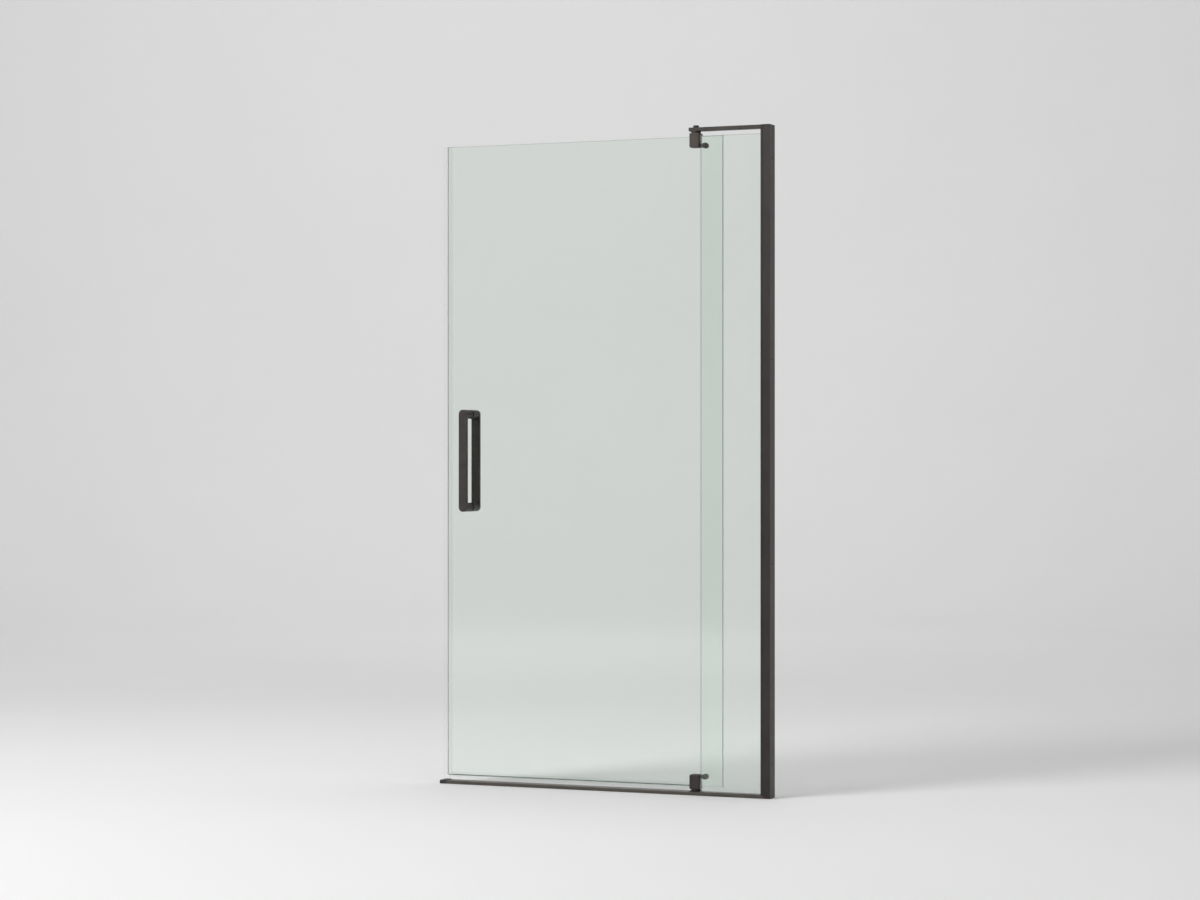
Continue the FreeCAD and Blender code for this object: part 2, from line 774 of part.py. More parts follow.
# ---- pull handle on both faces of the door, on two studs through the glass
post_radius = bar_width / 2
washer_y = half_glass + handle_washer_thickness
bar_y0 = washer_y + post_length
bar = box(
    handle_x - post_radius,
    handle_x + post_radius,
    bar_y0,
    bar_y0 + bar_thickness,
    handle_height - post_offset,
    handle_height + post_offset,
)
for z in handle_stud_zs:
    bar = bar.fuse(rod(handle_x, bar_y0, z, inward, post_radius, bar_thickness))
bar = bar.removeSplitter()
rims = edges_where(bar, lambda e: is_level(e, 1, bar_y0) or is_level(e, 1, bar_y0 + bar_thickness))
bar = bar.makeFillet(bar_break, rims)
export("handle_inner_bar", bar)
export("handle_outer_bar", mirrored_in_y(bar))

stud_radius = handle_stud_diameter / 2
inner_posts = []
outer_posts = []
washers = []
studs = []
sleeves = []
post_screws = []
for z in handle_stud_zs:
    post = rod(handle_x, washer_y, z, inward, post_radius, post_length)
    bore_depth = handle_stud_reach + handle_bore_spare
    post = post.cut(rod(handle_x, 0, z, inward, stud_radius + handle_bore_clearance, bore_depth))
    outer_posts.append(mirrored_in_y(post))
    screw_y = washer_y + post_screw_distance
    post_screw_length = post_radius - set_screw_sink - stud_radius - handle_bore_clearance
    post = post.cut(rod(handle_x, screw_y, z, down, post_screw_diameter / 2, post_radius + 1))
    inner_posts.append(post)
    washer_radius = post_radius - handle_washer_inset
    washer = rod(handle_x, half_glass, z, inward, washer_radius, handle_washer_thickness)
    washer = washer.cut(rod(handle_x, 0, z, inward, stud_radius + handle_bore_clearance, bar_y0))
    washers += [washer, mirrored_in_y(washer)]
    studs.append(rod(handle_x, -handle_stud_reach, z, inward, stud_radius, 2 * handle_stud_reach))
    sleeve = rod(
        handle_x, -half_glass, z, inward, handle_hole_diameter / 2 - handle_sleeve_clearance, glass_thickness
    )
    sleeves.append(
        sleeve.cut(rod(handle_x, -bar_y0, z, inward, stud_radius + handle_bore_clearance, 2 * bar_y0))
    )
    screw_z = z - post_radius + set_screw_sink
    post_screws.append(
        set_screw(handle_x, screw_y, screw_z, up, post_screw_diameter, post_screw_length)
    )
export("handle_inner_posts", *inner_posts)
export("handle_outer_posts", *outer_posts)
export("handle_washers", *washers)
export("handle_studs", *studs)
export("handle_sleeves", *sleeves)
export("handle_set_screws", *post_screws)

# ---- strike seal: clear U on the door's free edge with a straight fin to the wall
seal_half = half_glass + seal_clearance + seal_leg
seal_x1 = door_left_x + strike_leg_length
seal_x0 = door_left_x - seal_clearance - strike_web
strike = box(seal_x0, seal_x1, -seal_half, seal_half, door_bottom_z, door_top_z)
strike = strike.cut(
    box(
        door_left_x - seal_clearance,
        seal_x1 + 1,
        -half_glass - seal_clearance,
        half_glass + seal_clearance,
        door_bottom_z - 1,
        door_top_z + 1,
    )
)
fin_half = strike_fin_thickness / 2
fin_tip_x = left_x + strike_wall_gap + fin_half
fin = box(fin_tip_x, seal_x0, -fin_half, fin_half, door_bottom_z, door_top_z)
fin = fin.fuse(rod(fin_tip_x, 0, door_bottom_z, up, fin_half, door_top_z - door_bottom_z))
export("strike_seal", strike.fuse(fin).removeSplitter())

# ---- bottom sweep: clear U under the main leaf with a straight fin and a drip fin
sweep_x0 = left_x + cap_length + sweep_end_gap
sweep_x1 = pivot_x - clamp_width / 2 - sweep_end_gap
sweep_top = door_bottom_z + sweep_leg_height
sweep_ceiling = door_bottom_z - seal_clearance
sweep_floor = sweep_ceiling - sweep_web
sweep = box(seal_x1 + sweep_end_gap, sweep_x1, -seal_half, seal_half, sweep_floor, sweep_top)
sweep = sweep.fuse(box(sweep_x0, sweep_x1, -seal_half, seal_half, sweep_floor, sweep_ceiling))
sweep = sweep.cut(
    box(
        door_left_x - 1,
        sweep_x1 + 1,
        -half_glass - seal_clearance,
        half_glass + seal_clearance,
        sweep_ceiling,
        sweep_top + 1,
    )
)
sweep_fin_half = sweep_fin_thickness / 2
over_plate_z = plate_top_z + running_gap
plate_sweep_radius = math.hypot(base_plate_length, base_plate_width) / 2
sweep_fin_x1 = pivot_x - plate_sweep_radius - running_gap
over_plate_fin = box(sweep_x0, sweep_x1, -sweep_fin_half, sweep_fin_half, over_plate_z, sweep_floor)
sweep = sweep.fuse(over_plate_fin)
sweep = sweep.fuse(
    box(sweep_x0, sweep_fin_x1, -sweep_fin_half, sweep_fin_half, rail_height + running_gap, over_plate_z)
)
drip = prism(
    [
        (sweep_x0, seal_half - sweep_fin_thickness, sweep_floor),
        (sweep_x0, seal_half, sweep_floor),
        (sweep_x0, seal_half + sweep_drip_reach, sweep_floor - sweep_drip_drop),
        (sweep_x0, seal_half + sweep_drip_reach - sweep_fin_thickness, sweep_floor - sweep_drip_drop),
    ],
    (sweep_x1 - sweep_x0, 0, 0),
)
export("bottom_sweep", sweep.fuse(drip).removeSplitter())
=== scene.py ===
import math

import bmesh
import bpy
from bpy.props import FloatProperty, FloatVectorProperty, IntProperty, PointerProperty
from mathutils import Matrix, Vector


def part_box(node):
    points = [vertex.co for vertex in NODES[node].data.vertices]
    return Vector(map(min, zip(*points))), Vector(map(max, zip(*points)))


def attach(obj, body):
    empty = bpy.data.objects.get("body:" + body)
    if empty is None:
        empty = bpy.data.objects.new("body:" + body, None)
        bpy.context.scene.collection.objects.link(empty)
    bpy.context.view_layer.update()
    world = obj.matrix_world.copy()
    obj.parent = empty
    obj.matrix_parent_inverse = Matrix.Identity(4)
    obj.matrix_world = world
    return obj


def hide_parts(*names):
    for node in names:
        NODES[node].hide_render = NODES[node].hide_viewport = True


bl_info = {
    "name": "Pivot shower door",
    "version": (1, 0, 0),
    "blender": (4, 5, 0),
    "location": "View3D > Sidebar > Shower door",
    "description": "Finishes, seals, gaskets, screws and a plain studio for a pivot shower door",
    "category": "Object",
}

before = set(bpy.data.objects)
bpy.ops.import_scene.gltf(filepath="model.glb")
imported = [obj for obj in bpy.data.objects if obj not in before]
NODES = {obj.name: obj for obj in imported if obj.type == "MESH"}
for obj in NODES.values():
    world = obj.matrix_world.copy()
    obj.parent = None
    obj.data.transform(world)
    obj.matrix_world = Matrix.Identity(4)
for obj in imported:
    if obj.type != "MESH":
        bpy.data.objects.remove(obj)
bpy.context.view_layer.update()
MM = 0.001

# The Mix node's colour inputs and colour output, by number, because others share their names.
MIX_FIRST, MIX_SECOND, MIX_RESULT = 6, 7, 2

# Nearly all of a noise lies between these values, so its two ends are put there.
NOISE_LOW, NOISE_HIGH = 0.3, 0.7


# ---------------------------------------------------------------- colour and nodes
def linear(code):
    """An sRGB hex colour as linear RGBA."""
    parts = [int(code[i : i + 2], 16) / 255 for i in (0, 2, 4)]
    light = [c / 12.92 if c <= 0.04045 else ((c + 0.055) / 1.055) ** 2.4 for c in parts]
    return tuple(light) + (1.0,)


def opaque(colour):
    """A colour setting as RGBA."""
    return tuple(colour) + (1.0,)


def shade(colour, factor):
    """A colour made darker or paler."""
    return tuple(min(1.0, c * factor) for c in colour[:3]) + (1.0,)


def add(tree, kind, settings=None, inputs=None):
    """Adds a node with its settings, and its inputs as plain values or links from sockets."""
    node = tree.nodes.new(kind)
    for name, value in (settings or {}).items():
        setattr(node, name, value)
    for name, value in (inputs or {}).items():
        socket = node.inputs[name]
        if isinstance(value, bpy.types.NodeSocket):
            tree.links.new(value, socket)
        else:
            socket.default_value = value
    return node


def new_material(name):
    """An empty material, and its Principled shader joined to the output."""
    material = bpy.data.materials.new(name)
    material.use_nodes = True
    tree = material.node_tree
    tree.nodes.clear()
    shader = add(tree, "ShaderNodeBsdfPrincipled")
    add(tree, "ShaderNodeOutputMaterial", inputs={"Surface": shader.outputs["BSDF"]})
    return material, tree, shader


def pattern(tree, sizes, detail=2.0):
    """Soft noise on Object coordinates. Its cells' sizes are in millimetres, one or X, Y and Z."""
    sizes = sizes if isinstance(sizes, tuple) else (sizes, sizes, sizes)
    place = add(tree, "ShaderNodeTexCoord").outputs["Object"]
    per_metre = tuple(1 / (size * MM) for size in sizes)
    cells = add(tree, "ShaderNodeMapping", inputs={"Vector": place, "Scale": per_metre})
    inputs = {"Vector": cells.outputs["Vector"], "Scale": 1.0, "Detail": detail, "Roughness": 0.55}
    return add(tree, "ShaderNodeTexNoise", {"noise_dimensions": "3D"}, inputs).outputs["Fac"]


def band(tree, axis, middle, half, fade):
    """1 within half of the middle along an object axis, then 0, with a fade, all in metres."""
    place = add(tree, "ShaderNodeTexCoord").outputs["Object"]
    along = add(tree, "ShaderNodeSeparateXYZ", inputs={"Vector": place}).outputs[axis]
    offset = add(tree, "ShaderNodeMath", {"operation": "SUBTRACT"}, {0: along, 1: middle})
    distance = add(tree, "ShaderNodeMath", {"operation": "ABSOLUTE"}, {0: offset.outputs["Value"]})
    inputs = {"Value": distance.outputs["Value"], "From Min": half - fade, "From Max": half}
    inputs.update({"To Min": 1.0, "To Max": 0.0})
    return add(tree, "ShaderNodeMapRange", inputs=inputs).outputs["Result"]


def tinted(tree, noise, dark, light):
    """A colour that goes from dark to light with a pattern."""
    inputs = {"Value": noise, "From Min": NOISE_LOW, "From Max": NOISE_HIGH}
    amount = add(tree, "ShaderNodeMapRange", inputs=inputs).outputs["Result"]
    inputs = {"Factor": amount, MIX_FIRST: dark, MIX_SECOND: light}
    return add(tree, "ShaderNodeMix", {"data_type": "RGBA"}, inputs).outputs[MIX_RESULT]


def surface(tree, shader, colour, polish, relief=None):
    """Gives a shader its colour, and the roughness and relief that follow patterns.

    polish is a pattern with its least and greatest roughness, and relief is a pattern with its
    depth in millimetres.
    """
    tree.links.new(colour, shader.inputs["Base Color"])
    noise, least, greatest = polish
    inputs = {"Value": noise, "From Min": NOISE_LOW, "From Max": NOISE_HIGH}
    inputs.update({"To Min": least, "To Max": greatest})
    roughness = add(tree, "ShaderNodeMapRange", inputs=inputs)
    tree.links.new(roughness.outputs["Result"], shader.inputs["Roughness"])
    if relief:
        inputs = {"Height": relief[0], "Strength": 1.0, "Distance": relief[1] * MM}
        bump = add(tree, "ShaderNodeBump", inputs=inputs)
        tree.links.new(bump.outputs["Normal"], shader.inputs["Normal"])


# ---------------------------------------------------------------- finishes
def plated_brass_bronze(settings):
    # Brass castings and bar, satin polished and dark bronze plated: a near-black brown metal whose
    # fine random polish softens every highlight, with faint cloudiness in the plating.
    # The polish is drawn about a millimetre coarse, because the real one is too fine to show.
    material, tree, shader = new_material("bronze_plated_brass_satin")
    colour = opaque(settings.bronze)
    cloud = pattern(tree, 22.2, 3.0)
    satin = pattern(tree, (0.91, 0.91, 3.85), 1.0)
    plating = tinted(tree, cloud, shade(colour, 0.84), shade(colour, 1.2))
    rough = settings.bronze_roughness
    surface(tree, shader, plating, (satin, rough - 0.05, rough + 0.07), relief=(satin, 0.012))
    shader.inputs["Metallic"].default_value = 0.55
    return material


def anodised_extrusion(colour, settings, along):
    # Extruded aluminium, etched and dark bronze anodised: a dry satin brown-black with die lines
    # about a millimetre apart that run along the bar, coarser than real ones so that they show.
    name = "bronze_anodised_aluminium_extruded_along_" + along.lower()
    material, tree, shader = new_material(name)
    colour = opaque(colour)
    line_width, line_length = 1.05, 333.0
    sizes = tuple(line_length if axis == along else line_width for axis in "XYZ")
    die_lines = pattern(tree, sizes)
    etching = pattern(tree, 0.455, 1.0)
    cloud = pattern(tree, 71.4)
    anodising = tinted(tree, cloud, shade(colour, 0.9), shade(colour, 1.12))
    both = add(tree, "ShaderNodeMath", {"operation": "ADD"}, {0: die_lines, 1: etching})
    rough = settings.extrusion_roughness
    polish = (die_lines, rough - 0.04, rough + 0.06)
    surface(tree, shader, anodising, polish, relief=(both.outputs["Value"], 0.01))
    shader.inputs["Metallic"].default_value = 0.5
    return material


def moulded_cap(settings):
    # Injection-moulded ABS in dark brown with a fine spark-eroded grain, duller than the metal.
    material, tree, shader = new_material("dark_abs_moulded_grain")
    colour = opaque(settings.cap)
    cloud = pattern(tree, 16.7)
    grain = pattern(tree, 0.625, 1.0)
    plastic = tinted(tree, cloud, shade(colour, 0.9), shade(colour, 1.15))
    surface(tree, shader, plastic, (grain, 0.42, 0.55), relief=(grain, 0.02))
    return material


def tempered_glass(settings, pane):
    # Float glass, tempered: clear with a faint green from its iron and long shallow roller waves.
    # Its edges are ground flat, so they catch the light as a dull grey-green band 8 mm wide. The
    # band is what lies between the pane's two faces, in the pane's own place across the door.
    material, tree, shader = new_material("tempered_float_glass_clear_" + pane)
    colour = opaque(settings.glass)
    waves = pattern(tree, (1250.0, 1250.0, 200.0), 1.0)
    grit = pattern(tree, 1.43, 1.0)
    face = tinted(tree, waves, shade(colour, 0.996), shade(colour, 1.004))
    ground = tinted(tree, grit, linear("c6d1ca"), linear("d6deda"))
    low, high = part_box(pane)
    middle, half = (low[1] + high[1]) / 2, (high[1] - low[1]) / 2
    skin, fade, ground_roughness = 0.1 * MM, 0.2 * MM, 0.6
    edge = band(tree, "Y", middle, half - skin, fade)
    inputs = {"Factor": edge, MIX_FIRST: face, MIX_SECOND: ground}
    colours = add(tree, "ShaderNodeMix", {"data_type": "RGBA"}, inputs)
    tree.links.new(colours.outputs[MIX_RESULT], shader.inputs["Base Color"])
    roughness = add(tree, "ShaderNodeMapRange", inputs={"Value": edge, "To Max": ground_roughness})
    tree.links.new(roughness.outputs["Result"], shader.inputs["Roughness"])
    shader.inputs["IOR"].default_value = 1.52
    shader.inputs["Transmission Weight"].default_value = 1.0
    return material


def clear_vinyl(settings, name, seat_shade_height=None):
    # Extruded soft clear PVC: water-clear thin walls with a faint ripple, so seals hardly show.
    # Where the glass rests in the sweep, a darker band is painted into the vinyl as painted shade,
    # and shows as one thin dark line under the pane. The ripple is drawn coarse, at about 1.4 mm,
    # to show.
    material, tree, shader = new_material(name)
    colour = opaque(settings.vinyl)
    ripple = pattern(tree, 1.43, 1.0)
    tint = tinted(tree, ripple, shade(colour, 0.985), shade(colour, 1.0))
    # Painted shade: a darker band in the vinyl where the glass's foot sits in the sweep.
    if seat_shade_height is not None:
        half, fade = 1.6 * MM, 0.3 * MM
        strip = band(tree, "Z", seat_shade_height, half, fade)
        inputs = {"Factor": strip, MIX_FIRST: tint, MIX_SECOND: opaque(settings.sweep_seat_shade)}
        tint = add(tree, "ShaderNodeMix", {"data_type": "RGBA"}, inputs).outputs[MIX_RESULT]
    surface(tree, shader, tint, (ripple, 0.02, 0.07))
    shader.inputs["IOR"].default_value = 1.15
    shader.inputs["Transmission Weight"].default_value = 1.0
    return material


def gasket_rubber():
    # Extruded EPDM: matt black with a slight bloom.
    material, tree, shader = new_material("black_epdm_extruded")
    bloom = pattern(tree, (11.1, 11.1, 50.0))
    rubber = tinted(tree, bloom, linear("141414"), linear("1d1d1c"))
    surface(tree, shader, rubber, (bloom, 0.62, 0.74))
    return material


def moulded_nylon():
    # Moulded nylon, black: waxy half gloss with a faint flow pattern.
    material, tree, shader = new_material("black_nylon_moulded")
    flow = pattern(tree, 4.55)
    nylon = tinted(tree, flow, linear("181817"), linear("222120"))
    surface(tree, shader, nylon, (flow, 0.36, 0.46))
    return material


def tumbled_stainless():
    # Stainless steel, cold headed and tumbled: bright grey with a fine tumbled haze, drawn about a
    # millimetre coarse so that it shows.
    material, tree, shader = new_material("stainless_steel_tumbled")
    haze = pattern(tree, 1.11)
    steel = tinted(tree, haze, linear("8f8c88"), linear("a6a3a0"))
    surface(tree, shader, steel, (haze, 0.24, 0.36), relief=(haze, 0.004))
    shader.inputs["Metallic"].default_value = 1.0
    return material


BRONZE_NODES = [
    "header_arm", "upper_pivot_pin", "upper_collar", "lower_base_plate", "lower_thrust_washer",
    "upper_clamp_outer", "upper_clamp_inner", "upper_stud",
    "lower_clamp_outer", "lower_clamp_inner", "lower_stud",
    "handle_outer_bar", "handle_inner_bar", "handle_outer_posts", "handle_inner_posts",
]
STEEL_NODES = [
    "arm_set_screws", "arm_bracket_screws", "base_plate_screws", "jamb_side_screws",
    "lower_pivot_pin", "upper_clamp_bolt", "lower_clamp_bolt", "handle_studs", "handle_set_screws",
]
NYLON_NODES = [
    "upper_stud_sleeve", "upper_bushing", "lower_stud_sleeve", "lower_bushing",
    "handle_washers", "handle_sleeves",
]


def give(names, material):
    """Puts a material in every slot of the named CAD nodes."""
    for name in names:
        for slot in NODES[name].material_slots:
            slot.material = material


def material_named(start):
    """The first material whose name starts like this."""
    return next(m for m in bpy.data.materials if m.name.startswith(start))


# ---------------------------------------------------------------- geometry
# The pan head's dome: shares of its radius, and how far each lies under the top in millimetres.
PAN_HEAD_DOME = ((0.0, 0.0), (0.42, 0.02), (0.74, 0.18), (0.93, 0.6), (1.0, 1.15))


def mesh_object(name, vertices, faces):
    """A mesh object from vertices in millimetres."""
    mesh = bpy.data.meshes.new(name)
    mesh.from_pydata([tuple(c * MM for c in v) for v in vertices], [], faces)
    mesh.validate()
    obj = bpy.data.objects.new(name, mesh)
    bpy.context.scene.collection.objects.link(obj)
    return obj


def socket_id(tree, name):
    """What a modifier calls the socket of this name."""
    sockets = (item for item in tree.interface.items_tree if item.item_type == "SOCKET")
    return next(socket.identifier for socket in sockets if socket.name == name)


def keep_result(obj):
    """Keeps what an object's modifiers make as its plain mesh, and takes them off."""
    bpy.context.view_layer.update()
    graph = bpy.context.evaluated_depsgraph_get()
    built = bpy.data.meshes.new_from_object(obj.evaluated_get(graph))
    built.name = obj.name
    obj.modifiers.clear()
    obj.data = built


def bake_nodes(obj, tree, values):
    """Runs a node tree on an object and keeps the result as its plain mesh."""
    modifier = obj.modifiers.new("build", "NODES")
    modifier.node_group = tree
    for name, value in values.items():
        modifier[socket_id(tree, name)] = value
    keep_result(obj)


def node_group(name, sockets):
    """A geometry node tree with the named inputs, and its input sockets."""
    tree = bpy.data.node_groups.new(name, "GeometryNodeTree")
    tree.interface.new_socket("Geometry", in_out="INPUT", socket_type="NodeSocketGeometry")
    for socket, kind in sockets:
        tree.interface.new_socket(socket, in_out="INPUT", socket_type=kind)
    tree.interface.new_socket("Geometry", in_out="OUTPUT", socket_type="NodeSocketGeometry")
    return tree, add(tree, "NodeGroupInput").outputs


def finish_tree(tree, geometry, material):
    """Ends a geometry node tree: real geometry with its material, to the output."""
    real = add(tree, "GeometryNodeRealizeInstances", inputs={"Geometry": geometry})
    inputs = {"Geometry": real.outputs["Geometry"], "Material": material}
    finished = add(tree, "GeometryNodeSetMaterial", inputs=inputs)
    add(tree, "NodeGroupOutput", inputs={"Geometry": finished.outputs["Geometry"]})


def extrusion_tree():
    """Draws a flat section out into a closed bar, as a die does."""
    sockets = [("Run", "NodeSocketVector"), ("Finish", "NodeSocketMaterial")]
    tree, given = node_group("Extruded profile", sockets)
    inputs = {
        "Mesh": given["Geometry"], "Offset": given["Run"], "Offset Scale": 1.0, "Individual": False,
    }
    drawn = add(tree, "GeometryNodeExtrudeMesh", {"mode": "FACES"}, inputs)
    start_face = add(tree, "GeometryNodeFlipFaces", inputs={"Mesh": given["Geometry"]})
    joined = add(tree, "GeometryNodeJoinGeometry")
    tree.links.new(drawn.outputs["Mesh"], joined.inputs["Geometry"])
    tree.links.new(start_face.outputs["Mesh"], joined.inputs["Geometry"])
    inputs = {"Geometry": joined.outputs["Geometry"], "Distance": 0.01 * MM}
    welded = add(tree, "GeometryNodeMergeByDistance", inputs=inputs)
    finish_tree(tree, welded.outputs["Geometry"], given["Finish"])
    return tree


def row_tree():
    """Repeats one screw along a straight line."""
    sockets = [
        ("Count", "NodeSocketInt"), ("Pitch", "NodeSocketVector"), ("Finish", "NodeSocketMaterial"),
    ]
    tree, given = node_group("Screw row", sockets)
    inputs = {"Count": given["Count"], "Offset": given["Pitch"]}
    line = add(tree, "GeometryNodeMeshLine", {"mode": "OFFSET"}, inputs)
    inputs = {"Points": line.outputs["Mesh"], "Instance": given["Geometry"]}
    row = add(tree, "GeometryNodeInstanceOnPoints", inputs=inputs)
    finish_tree(tree, row.outputs["Instances"], given["Finish"])
    return tree


def rounded_outline(corners, steps=5):
    """A closed outline from (x, y, radius) corners, each rounded by its own radius.

    A rounding takes at most half of the sides beside it, less a little so that no two meet.
    """
    side_share = 0.49
    outline = []
    points = [Vector(corner[:2]) for corner in corners]
    for i, here in enumerate(points):
        radius = corners[i][2]
        before = points[i - 1] - here
        after = points[(i + 1) % len(points)] - here
        to_before, to_after = before.normalized(), after.normalized()
        turn = to_before.angle(to_after)
        longest = min(before.length, after.length) * side_share
        reach = min(radius / math.tan(turn / 2), longest)
        bend = reach * math.tan(turn / 2)
        centre = here + (to_before + to_after).normalized() * (bend / math.sin(turn / 2))
        start = here + to_before * reach - centre
        sign = 1 if start.x * to_after.y - start.y * to_after.x > 0 else -1
        for step in range(steps + 1):
            angle = sign * (math.pi - turn) * step / steps
            cos, sin = math.cos(angle), math.sin(angle)
            x = centre.x + start.x * cos - start.y * sin
            y = centre.y + start.x * sin + start.y * cos
            outline.append((x, y))
    return outline


def extruded(name, outline, base, height, material):
    """A flat outline at the base height, drawn out upwards, in millimetres."""
    vertices = [(x, y, base) for x, y in outline]
    obj = mesh_object(name, vertices, [tuple(range(len(outline)))])
    values = {"Run": (0, 0, height * MM), "Finish": material}
    bake_nodes(obj, bpy.data.node_groups["Extruded profile"], values)
    outward_faces(obj)
    return obj


def outward_faces(obj):
    """Merges doubled vertices and turns every face outwards."""
    built = bmesh.new()
    built.from_mesh(obj.data)
    bmesh.ops.remove_doubles(built, verts=built.verts, dist=0.001 * MM)
    bmesh.ops.recalc_face_normals(built, faces=built.faces)
    built.to_mesh(obj.data)
    built.free()


def smooth_by_angle(obj, degrees=35):
    """Smooth shading with sharp edges past this angle."""
    obj.data.shade_smooth()
    obj.data.set_sharp_from_angle(angle=math.radians(degrees))


def corner_mm(node):
    """A node's lowest and highest corners in millimetres."""
    return [[c / MM for c in corner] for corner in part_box(node)]


def turned(profile, segments):
    """Vertices and faces turned about Z, from (radius, height) pairs that end on the axis."""
    vertices = [(0.0, 0.0, profile[0][1])]
    for radius, height in profile[1:-1]:
        for k in range(segments):
            angle = 2 * math.pi * k / segments
            vertices.append((radius * math.cos(angle), radius * math.sin(angle), height))
    vertices.append((0.0, 0.0, profile[-1][1]))
    faces = []
    rings = len(profile) - 2
    for k in range(segments):
        after = (k + 1) % segments
        faces.append((0, 1 + after, 1 + k))
        for ring in range(rings - 1):
            a = 1 + ring * segments
            b = a + segments
            faces.append((a + k, a + after, b + after, b + k))
        last = 1 + (rings - 1) * segments
        faces.append((last + k, last + after, len(vertices) - 1))
    return vertices, faces


def cut_recess(obj, mouth, width, slot, depth):
    """Cuts a tapered cross recess into a head that faces +Y, from two crossed wedges."""
    x, y, z = mouth
    clear, mouth_share, floor_share = 0.6, 1.15, 0.62
    corners = ((-1, -1), (1, -1), (1, 1), (-1, 1))
    sides = ((0, 1, 2, 3), (7, 6, 5, 4), (0, 4, 5, 1), (1, 5, 6, 2), (2, 6, 7, 3), (3, 7, 4, 0))
    vertices, faces = [], []
    for half_x, half_z in ((width / 2, slot / 2), (slot / 2, width / 2)):
        base = len(vertices)
        for dy, share in ((clear, mouth_share), (-depth, floor_share)):
            for sx, sz in corners:
                vertices.append((x + sx * half_x * share, y + dy, z + sz * half_z * share))
        faces += [tuple(base + i for i in side) for side in sides]
    cutter = mesh_object("recess_cutter", vertices, faces)
    outward_faces(cutter)
    cut = obj.modifiers.new("recess", "BOOLEAN")
    cut.operation = "DIFFERENCE"
    cut.object = cutter
    cut.use_self = True
    keep_result(obj)
    bpy.data.objects.remove(cutter)


# ---------------------------------------------------------------- studio
# Each light's name, place, target and size in metres, and the setting that gives its power.
LIGHTS = (
    ("key_light", (-3.4, -5.0, 4.6), (0, 0, 0.9), 3.2, "key_power"),
    ("wall_light", (-2.5, 5.0, 5.5), (-4.5, 10.5, 2.5), 3.0, "wall_power"),
    ("top_light", (0.2, 0.5, 6.5), (0.2, 0.5, 0), 4.0, "top_power"),
)


def floor_sweep(studio):
    """A floor just under the rail, whose rim sweeps up all round so that no horizon shows."""
    material, tree, shader = new_material("pale_floor_paint")
    mottle = pattern(tree, 1667.0)
    colour = opaque(studio.floor)
    paint = tinted(tree, mottle, shade(colour, 0.99), shade(colour, 1.01))
    tree.links.new(paint, shader.inputs["Base Color"])
    shader.inputs["Roughness"].default_value = 0.75
    flat, rim, top, bend, steps, segments = 6000.0, 11500.0, 9000.0, 4000.0, 12, 72
    drop = 0.6
    profile = [(flat * share, 0.0) for share in (0.25, 0.5, 0.75, 1.0)]
    for step in range(steps + 1):
        rise = math.radians(90) * step / steps
        profile.append((rim - bend + bend * math.sin(rise), bend - bend * math.cos(rise)))
    profile.append((rim, top))
    vertices = [(0.0, 0.0, -drop)]
    for radius, height in profile:
        for k in range(segments):
            angle = 2 * math.pi * k / segments
            vertices.append((radius * math.cos(angle), radius * math.sin(angle), height - drop))
    faces = [(0, 1 + k, 1 + (k + 1) % segments) for k in range(segments)]
    for ring in range(len(profile) - 1):
        a = 1 + ring * segments
        b = a + segments
        for k in range(segments):
            after = (k + 1) % segments
            faces.append((a + k, b + k, b + after, a + after))
    floor = mesh_object("floor_sweep", vertices, faces)
    floor.data.materials.append(material)
    floor.data.shade_smooth()


def soft_light(name, place, target, size, power):
    """A round area light that points at its target."""
    light = bpy.data.lights.new(name, "AREA")
    light.shape = "DISK"
    light.size = size
    light.energy = power
    obj = bpy.data.objects.new(name, light)
    bpy.context.scene.collection.objects.link(obj)
    obj.location = place
    obj.rotation_euler = (Vector(target) - Vector(place)).to_track_quat("-Z", "Y").to_euler()


# ---------------------------------------------------------------- settings
class DoorFinishes(bpy.types.PropertyGroup):
    """Colours and roughness of the finishes"""

    bronze: FloatVectorProperty(
        name="Bronze plating", description="Colour of the plated brass fittings",
        subtype="COLOR", size=3, min=0, max=1, default=linear("3a3531")[:3],
    )
    bronze_roughness: FloatProperty(
        name="Bronze roughness", description="How satin the plated fittings are",
        min=0.1, max=0.9, default=0.4,
    )
    # The wall profiles and the rail are one anodised finish in two colours: the wall profiles'
    # darker colour is painted shade, and the rail's paler one is painted light.
    profile: FloatVectorProperty(
        name="Wall profiles", description="Colour of the anodised wall profiles, darkened as painted shade",
        subtype="COLOR", size=3, min=0, max=1, default=linear("332f2d")[:3],
    )
    rail: FloatVectorProperty(
        name="Rail", description="Colour of the anodised rail, made paler than the wall profiles as painted light",
        subtype="COLOR", size=3, min=0, max=1, default=linear("4f4a44")[:3],
    )
    extrusion_roughness: FloatProperty(
        name="Profile roughness", description="How satin the anodised profiles are",
        min=0.1, max=0.9, default=0.38,
    )
    cap: FloatVectorProperty(
        name="Cap plastic", description="Colour of the moulded caps",
        subtype="COLOR", size=3, min=0, max=1, default=linear("25211e")[:3],
    )
    glass: FloatVectorProperty(
        name="Glass tint", description="What the glass lets through at each face",
        subtype="COLOR", size=3, min=0, max=1, default=linear("f5fbf6")[:3],
    )
    vinyl: FloatVectorProperty(
        name="Vinyl tint", description="Colour of the clear seals",
        subtype="COLOR", size=3, min=0, max=1, default=linear("fcfdfc")[:3],
    )
    # Painted shade: the darker band in the sweep where the glass's foot sits.
    sweep_seat_shade: FloatVectorProperty(
        name="Sweep painted shade", description="Tint of the painted shade under the glass",
        subtype="COLOR", size=3, min=0, max=1, default=linear("a4aea8")[:3],
    )


